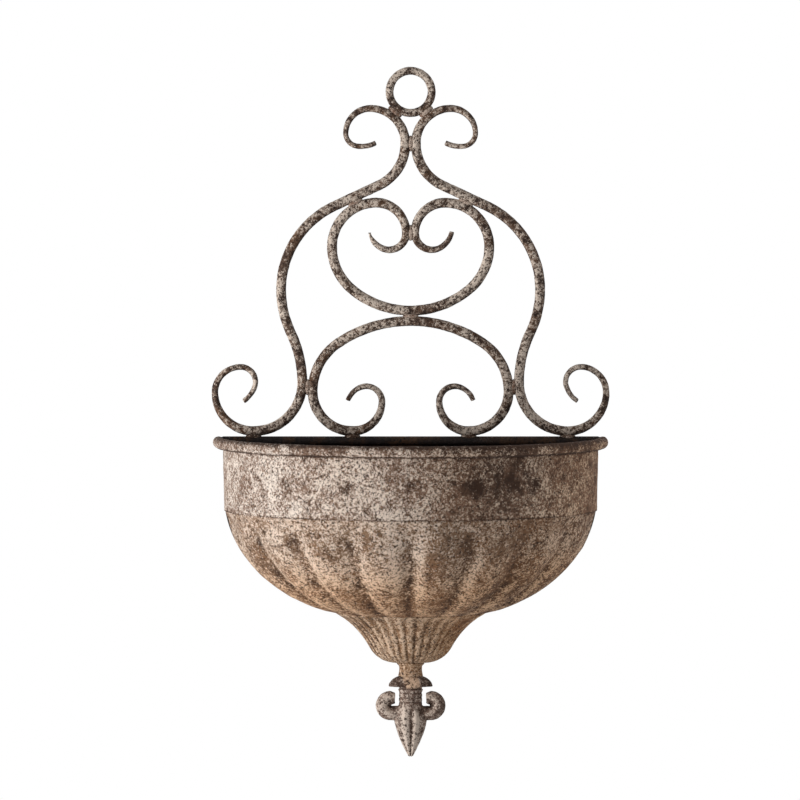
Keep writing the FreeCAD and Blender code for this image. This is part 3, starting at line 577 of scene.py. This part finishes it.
# The rail is painted near black, for the shade behind the rim
dressed("back_rail_forged", rail, "back_rail", shade_black_iron, BAR_RELIEF)
for node in ("ring_welds", "waist_weld", "heart_welds", "arch_welds", "foot_welds"):
    bead = marked(remeshed(node, WELD_VOXEL_MM), soil=weld_soil)
    dressed(f"{node}_beads", bead, node, weld_iron, WELD_RELIEF)


# Foot and neck

CAST_RELIEF = (("cast_lumps", 6, 0.5), ("cast_pits", 2.2, 0.28))
RIB_PITCH = math.pi / 18
RIB_WIDTH = 1.6 * MM
FOOT_VOXEL_MM = 0.64
NECK_VOXEL_MM = 0.45
LEDGE_WIDTH = 3 * MM


def rib_strength(angle):
    """Uneven ribs, worn away towards the right."""
    return (0.65 + 0.35 * np.sin(5.3 * angle / RIB_PITCH)) * ramp(angle, 0.3, 1.4)


def foot_soil(places, normals):
    """Dark grooves between the ribs, painted shade on the sides, and a dark inside painted for its shade.
    """
    angle, radius, outward = round_axis(places, normals)
    x = places[:, 0]
    groove = 0.42 * bell(from_valley(angle, radius, RIB_PITCH), RIB_WIDTH) * ramp(radius, 16 * MM, 30 * MM)
    # Painted shade: darker towards both sides, most on the left
    sides = 0.22 * ramp(-x, 5 * MM, 45 * MM) + 0.08 * ramp(x, 15 * MM, 45 * MM)
    # The inside is painted dark for its shade
    inside = (outward < 0.05) & (normals[:, 2] > -0.2) & (radius < foot_r - LEDGE_WIDTH)
    return np.where(inside, 1.0, groove * rib_strength(angle) + sides)


def foot_wear(places, normals):
    """Paler ribs."""
    angle, radius, _ = round_axis(places, normals)
    ribs = bell(np.abs(from_valley(angle, radius, RIB_PITCH)) - RIB_PITCH * radius / 2, RIB_WIDTH)
    return 0.6 * ribs * rib_strength(angle)


def foot_rust(places, normals):
    """Redder towards the right."""
    return 0.2 + 0.6 * ramp(places[:, 0], -10 * MM, 55 * MM)


def foot_lip(places, normals):
    """The foot's ledge drawn up against the bowl that stands on it, a little unevenly."""
    angle, radius, _ = round_axis(places, normals)
    ledge = ramp(radius, foot_r - LEDGE_WIDTH, foot_r - 0.5 * MM) * ramp(normals[:, 2], 0.1, 0.7)
    return (1.1 + 0.3 * np.sin(7 * angle + 1)) * MM * ledge


def neck_fillets(places, normals):
    """The neck flares under the foot and runs down onto the crown of the finial."""
    side = ramp(np.abs(normals[:, 2]), 0.7, 0.3)
    flare = 2.4 * ramp(places[:, 2], foot_z - 4.5 * MM, foot_z + 0.5 * MM) ** 2
    return (flare * side + 2.2 * ramp(-normals[:, 2], 0.5, 0.9)) * MM


foot = reshaped(remeshed("fluted_foot", FOOT_VOXEL_MM), foot_lip)
foot = marked(foot, soil=foot_soil, wear=foot_wear, rust=foot_rust)
dressed("foot_cast", foot, "fluted_foot", cast_iron, CAST_RELIEF)
neck = marked(reshaped(remeshed("neck_collar", NECK_VOXEL_MM), neck_fillets), rust=foot_rust)
dressed("neck_cast", neck, "neck_collar", cast_iron, CAST_RELIEF)


# Finial, with places in mm across from its middle and down from its top

FINIAL_VOXEL_MM = 0.45
STEM_RINGS = (14.5, 19.0, 23.5, 28.0)
PETAL_DROPS = (31, 46.5, 55.5, 64.5, 73.5, 82.5)
PETAL_HALVES = (12, 16.2, 14.2, 10.9, 6.9, 2.3)
CURL_EYE = (17, 30.5)


def finial_forms(places, normals):
    """Drop, share of the way out to the middle petal's edge, and where each form is.

    The last two are the way out from the eye of a side petal's curl, and where the side petals are.
    """
    x = places[:, 0] / MM
    drop = (finial_high.z - places[:, 2]) / MM
    front = ramp(-normals[:, 1], -0.2, 0.5)
    half = np.interp(drop, PETAL_DROPS, PETAL_HALVES)
    petal = ramp(drop, 31, 40) * front * (np.abs(x) < half)
    stem = ramp(drop, 12.5, 13.5) * ramp(drop, 32, 30) * (np.abs(x) < 12.5)
    leaf = ramp(drop, 15, 13) * front * ramp(np.abs(x + 2 - 0.4 * drop), 9.5, 6.5)
    curl = np.hypot(np.abs(x) - CURL_EYE[0], drop - CURL_EYE[1])
    side = ramp(np.abs(x), 13, 16) * front * ramp(drop, 14, 16)
    return drop, x / half, petal, stem, leaf, curl, side


def finial_carving(places, normals):
    """Rings round the stem, ridges beside a groove down the middle petal, and curled side petals."""
    drop, share, petal, stem, _, curl, side = finial_forms(places, normals)
    rings = -0.45 * sum(bell(drop - at, 0.8) for at in STEM_RINGS) * stem
    ridges = 0.9 * bell(np.abs(share) - 0.36, 0.16) - 0.8 * bell(np.abs(share) - 0.68, 0.12)
    curls = (0.7 * bell(curl - 10, 3.5) - 0.9 * bell(curl - 4, 2.5)) * side
    return (rings + curls + (ridges - 1.6 * bell(share - 0.06, 0.13)) * petal) * MM


def finial_soil(places, normals):
    """Dark rings, grooves and side leaves, and painted shade on the right, at the tip and in the curls'
    eyes.
    """
    drop, share, petal, stem, leaf, curl, side = finial_forms(places, normals)
    x = places[:, 0] / MM
    rings = 0.5 * sum(bell(drop - at, 0.9) for at in STEM_RINGS) * stem
    grooves = (0.5 * bell(share - 0.08, 0.12) + 0.25 * bell(np.abs(share) - 0.68, 0.12)) * petal
    shaded = 0.18 * ramp(x, 12, 24) + 0.25 * ramp(x, 24, 32) + 0.30 * ramp(drop, 72, 82)
    # Painted shade in the eyes of the curls
    eyes = 0.55 * bell(curl, 6) * side
    leaves = 0.45 * ramp(drop, 13, 12) * (1 - leaf)
    return rings + grooves + shaded + eyes + leaves


def finial_wear(places, normals):
    """Pale ridges and front leaf, and a painted highlight along the curls."""
    _, share, petal, _, leaf, curl, side = finial_forms(places, normals)
    ridges = bell(np.abs(share) - 0.40, 0.27) * petal
    # The pale band round each curl is a painted highlight
    return ridges + 0.35 * leaf + 0.45 * bell(curl - 8.5, 3) * side


def finial_rust(places, normals):
    """The front leaf is as brown as the neck above it."""
    leaf = finial_forms(places, normals)[4]
    return 0.8 * leaf


finial = remeshed("fleur_finial", FINIAL_VOXEL_MM)
finial = marked(finial, soil=finial_soil, wear=finial_wear, rust=finial_rust)
finial = reshaped(finial, finial_carving)
dressed("finial_cast", finial, "fleur_finial", finial_iron, CAST_RELIEF)


# CAD nodes that stay as they are, with a better material

for node, material in (
    # The back plate is painted near black, for the shade behind the rim
    ("back_plate", shade_black_iron),
    ("rim_wire", bar_iron),
    ("finial_stud", fastener_steel),
    ("stud_washer", fastener_steel),
    ("stud_nut", fastener_steel),
):
    nodes[node].data.materials.clear()
    nodes[node].data.materials.append(material)


# Stage, light and camera

AMBIENT = 0.34
FLOOR_DROP = 0.9
FLOOR_HALF = 1.5
FLOOR_COLOUR = (0.8, 0.8, 0.79, 1.0)
LIT_PLACE = Vector((0.0, -0.08, -0.40))
LIGHT_DISTANCE = 1.6
LIGHT_HEIGHT = 1.2
SENSOR_MM = 36.0
FRAME_WIDTH = 0.8
CAMERA_DISTANCE = 8.0
CAMERA_RISE = 2.7
CAMERA_AIM = Vector((-0.0106, 0.0, -0.308))

# The world is white to the eye and in reflections, and lights the planter more softly
world = bpy.data.worlds.new("studio")
bpy.context.scene.world = world
world.use_nodes = True
links, world_nodes = world.node_tree.links, world.node_tree.nodes
background = world_nodes["Background"]
background.inputs["Color"].default_value = (1.0, 1.0, 1.0, 1.0)
path = world_nodes.new("ShaderNodeLightPath")
seen = path.outputs["Is Camera Ray"]
for other in ("Is Glossy Ray", "Is Transmission Ray"):
    either = world_nodes.new("ShaderNodeMath")
    either.operation = "MAXIMUM"
    links.new(seen, either.inputs[0])
    links.new(path.outputs[other], either.inputs[1])
    seen = either.outputs[0]
strength = world_nodes.new("ShaderNodeMapRange")
links.new(seen, strength.inputs["Value"])
strength.inputs["To Min"].default_value = AMBIENT
strength.inputs["To Max"].default_value = 1.0
links.new(strength.outputs["Result"], background.inputs["Strength"])

floor_z = cad_box[0].z - FLOOR_DROP
corners = [(FLOOR_HALF * x, FLOOR_HALF * y, floor_z) for x, y in ((-1, -1), (1, -1), (1, 1), (-1, 1))]
floor_mesh = bpy.data.meshes.new("floor")
floor_mesh.from_pydata(corners, [], [(0, 1, 2, 3)])
floor = added("floor", floor_mesh)
pale_floor = bpy.data.materials.new("pale_floor")
pale_floor.use_nodes = True
floor_shader = pale_floor.node_tree.nodes["Principled BSDF"]
floor_shader.inputs["Base Color"].default_value = FLOOR_COLOUR
floor_shader.inputs["Roughness"].default_value = 0.9
floor_mesh.materials.append(pale_floor)


def aimed(name, data, target, azimuth, elevation, distance):
    """An object that looks at a place: azimuth 0 is in front, positive to the right."""
    turn, rise = math.radians(azimuth), math.radians(elevation)
    away = Vector((math.sin(turn) * math.cos(rise), -math.cos(turn) * math.cos(rise), math.sin(rise)))
    holder = added(name, data)
    holder.location = target + distance * away
    holder.rotation_euler = (-away).to_track_quat("-Z", "Y").to_euler()
    return holder


def soft_light(name, azimuth, elevation, width, watts):
    """A soft box aimed at the planter."""
    lamp = bpy.data.lights.new(name, "AREA")
    lamp.shape = "RECTANGLE"
    lamp.size = width
    lamp.size_y = LIGHT_HEIGHT
    lamp.energy = watts
    aimed(name, lamp, LIT_PLACE, azimuth, elevation, LIGHT_DISTANCE)


soft_light("key", azimuth=-66, elevation=-6, width=0.8, watts=24)
soft_light("fill", azimuth=98, elevation=0, width=0.6, watts=4)

camera_data = bpy.data.cameras.new("camera")
camera_data.sensor_width = SENSOR_MM
camera_data.lens = SENSOR_MM * CAMERA_DISTANCE / FRAME_WIDTH
camera = aimed("camera", camera_data, CAMERA_AIM, 0, CAMERA_RISE, CAMERA_DISTANCE)
bpy.context.scene.camera = camera
bpy.context.scene.view_settings.view_transform = "Standard"
